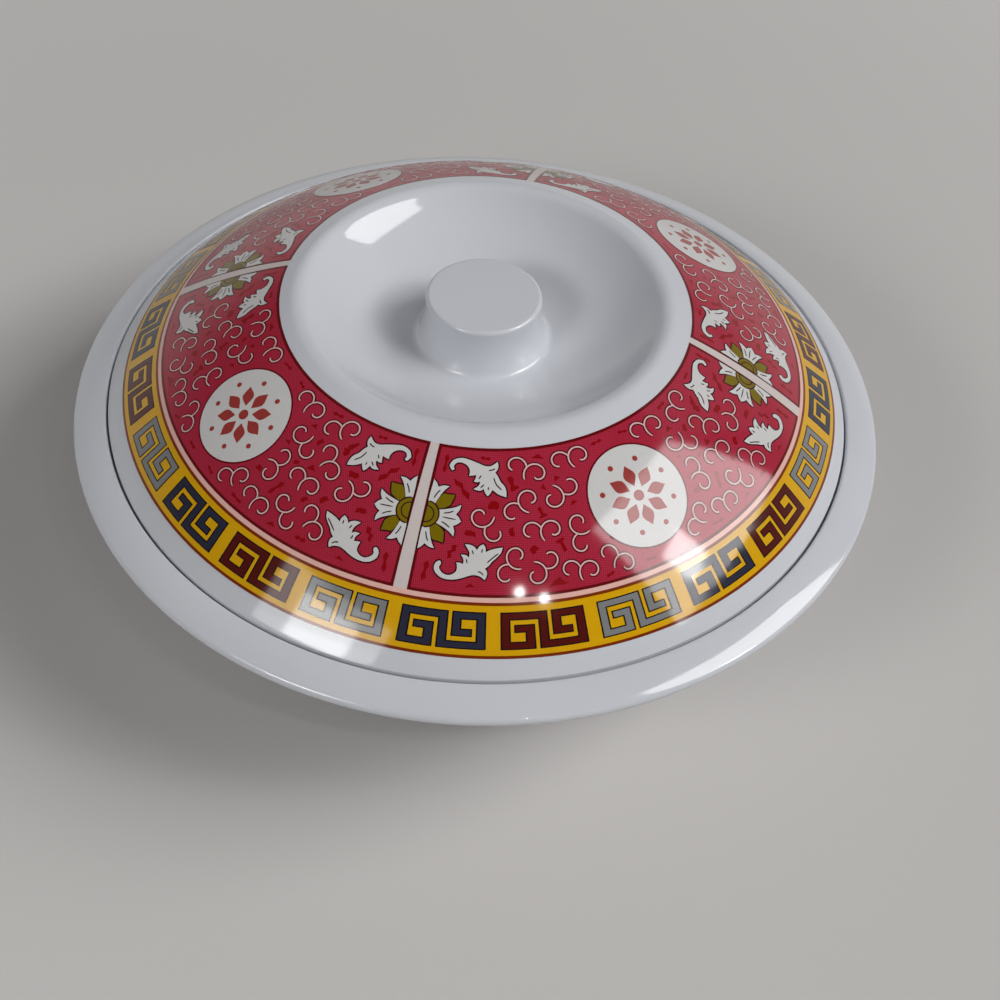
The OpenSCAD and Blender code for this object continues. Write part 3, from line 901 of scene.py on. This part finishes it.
def soft_lamp(name, azimuth, elevation, distance, size, power, wall=None):
    """A rectangular lamp that faces the bowl, or hangs upright on a wall square to one azimuth."""
    data = bpy.data.lights.new(name, "AREA")
    data.shape = "RECTANGLE"
    data.size, data.size_y = size
    data.energy = power
    away = toward(azimuth, elevation)
    back = away if wall is None else toward(wall)
    lamp = bpy.data.objects.new(name, data)
    lamp.location = aim + away * distance
    lamp.rotation_euler = back.to_track_quat("Z", "Y").to_euler()
    bpy.context.scene.collection.objects.link(lamp)


soft_lamp("window_lamp", 90.7, 44.2, 3.233, (2.22, 2.13), 88, wall=121)
soft_lamp("bright_pane", 104.5, 38.8, 2.6, (0.345, 0.4), 5.9)
soft_lamp("front_lamp", -139.5, 34.7, 1.2, (0.31, 0.24), 1.65)
soft_lamp("front_glow", -138.5, 36, 1.2, (0.61, 0.34), 2.15)
soft_lamp("back_lamp", 40, 38, 1.7, (1.4, 1.0), 1.0)
soft_lamp("left_spot", 160.5, 54, 1.5, (0.04, 0.04), 0.4)
soft_lamp("right_spot", 152.5, 51.2, 1.5, (0.04, 0.04), 0.4)


def blended(tree, lit, shown, share):
    """Mixes what lights the bowl with what rays that look at the studio, or mirror it, are shown."""
    path = node(tree, "ShaderNodeLightPath").outputs
    looked = node(tree, "ShaderNodeMath", {0: path["Is Camera Ray"], 1: path["Is Glossy Ray"]},
                  operation="MAXIMUM").outputs[0]
    seen = node(tree, "ShaderNodeMath", {0: looked, 1: path["Is Transmission Ray"]},
                operation="MAXIMUM").outputs[0]
    part = node(tree, "ShaderNodeMath", {0: share, 1: seen}, operation="MULTIPLY").outputs[0]
    return node(tree, "ShaderNodeMixShader", {0: part, 1: lit, 2: shown}).outputs[0]


world = bpy.data.worlds.new("studio")
world.use_nodes = True
tree = world.node_tree
sky = tree.nodes["Background"]
sky.inputs["Color"].default_value = colour(sky_colour)
sky.inputs["Strength"].default_value = sky_strength
wall = node(tree, "ShaderNodeBackground", {"Color": colour(wall_colour)})
up = node(tree, "ShaderNodeSeparateXYZ", {0: node(tree, "ShaderNodeTexCoord").outputs["Generated"]})
low = node(tree, "ShaderNodeMapRange", {"Value": up.outputs["Z"], "From Min": wall_gone_by,
                                        "From Max": wall_solid_to}, interpolation_type="SMOOTHSTEP")
around = blended(tree, sky.outputs[0], wall.outputs[0], low.outputs[0])
tree.links.new(around, tree.nodes["World Output"].inputs["Surface"])
bpy.context.scene.world = world

floor_mesh = bpy.data.meshes.new("floor")
corner_signs = ((-1, -1), (1, -1), (1, 1), (-1, 1))
floor_corners = [(x * floor_half_side, y * floor_half_side, 0) for x, y in corner_signs]
floor_mesh.from_pydata(floor_corners, [], [(0, 1, 2, 3)])
floor = bpy.data.objects.new("floor", floor_mesh)
floor_paint = bpy.data.materials.new("studio_floor_paint")
floor_paint.use_nodes = True
tree = floor_paint.node_tree
paint = tree.nodes["Principled BSDF"]
paint.inputs["Base Color"].default_value = colour(floor_colour)
paint.inputs["Roughness"].default_value = floor_roughness
far_floor = node(tree, "ShaderNodeEmission", {"Color": colour(wall_colour)})
place = node(tree, "ShaderNodeTexCoord").outputs["Object"]
reach = node(tree, "ShaderNodeVectorMath", {0: place}, operation="LENGTH").outputs["Value"]
far = node(tree, "ShaderNodeMapRange", {"Value": reach, "From Min": floor_fades_from,
                                        "From Max": floor_gone_by}, interpolation_type="SMOOTHSTEP")
surface = blended(tree, paint.outputs[0], far_floor.outputs[0], far.outputs[0])
tree.links.new(surface, tree.nodes["Material Output"].inputs["Surface"])
floor_mesh.materials.append(floor_paint)
bpy.context.scene.collection.objects.link(floor)

camera = bpy.data.objects.new("camera", bpy.data.cameras.new("camera"))
camera.data.sensor_width = 36
camera.data.lens = camera_lens
camera.data.clip_start = 0.01
tilt = math.radians(camera_elevation)
away = Vector((0, -math.cos(tilt), math.sin(tilt)))
camera.matrix_world = (
    Matrix.Translation(aim + away * camera_distance)
    @ Matrix.Rotation(math.pi / 2 - tilt, 4, "X")
    @ Matrix.Rotation(-math.radians(camera_yaw), 4, "Y")
    @ Matrix.Rotation(math.radians(camera_pitch), 4, "X")
    @ Matrix.Rotation(math.radians(camera_roll), 4, "Z")
)
bpy.context.scene.collection.objects.link(camera)
bpy.context.scene.camera = camera
bpy.context.scene.view_settings.view_transform = "Standard"
